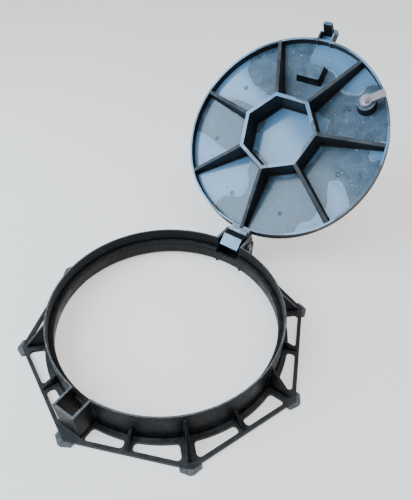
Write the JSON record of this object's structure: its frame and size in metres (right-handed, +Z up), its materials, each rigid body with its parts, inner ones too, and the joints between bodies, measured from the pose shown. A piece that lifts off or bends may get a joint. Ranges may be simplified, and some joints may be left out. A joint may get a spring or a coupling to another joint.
{
  "type": "hinged manhole cover and frame",
  "caption": "Round ribbed iron cover held open on the pin of an eight-sided iron frame, with a nose, a pick pocket and a turning latch.",
  "frame": {"origin": "on the axis of the clear opening, in the plane of the ledge that the cover sits on", "axes": "+Z up, out of the ground; +Y towards the hinge; -Y towards the nose and its socket"},
  "size_m": [0.812, 1.2597, 0.6043],
  "materials": {
    "coated_iron_frame": "black bitumen paint, satin",
    "coated_iron_cover": "black bitumen paint, wet and glossy",
    "gasket_rubber": "matt",
    "plain_steel": "dull zinc",
    "bush_bronze": "dull",
    "cap_plastic": "matt",
    "lock_steel": "stainless, satin"
  },
  "bodies": {
    "frame": {"frame_casting": "coated_iron_frame", "seat_gasket": "gasket_rubber", "hinge_pin": "plain_steel", "hinge_washers": "plain_steel", "hinge_split_pin": "plain_steel"},
    "cover": {"cover_casting": "coated_iron_cover", "lock_bush": "bush_bronze", "lock_dust_cap": "cap_plastic"},
    "latch": {"lock_spindle": "lock_steel", "lock_seal_ring": "gasket_rubber", "lock_spring": "lock_steel", "latch_bar": "lock_steel", "lock_washer": "lock_steel", "lock_nut": "lock_steel"}
  },
  "joints": [
    {"name": "cover_hinge", "type": "hinge", "parent": "frame", "child": "cover", "pos_m": [0, 0.351, 0.011], "axis": [1, 0, 0], "range_deg": [0, 133]},
    {"name": "latch_turn", "type": "hinge", "parent": "cover", "child": "latch", "pos_m": [0.19534, 0.68462, 0.40395], "axis": [0, 0.7314, -0.682], "range_deg": [0, 90]}
  ]
}
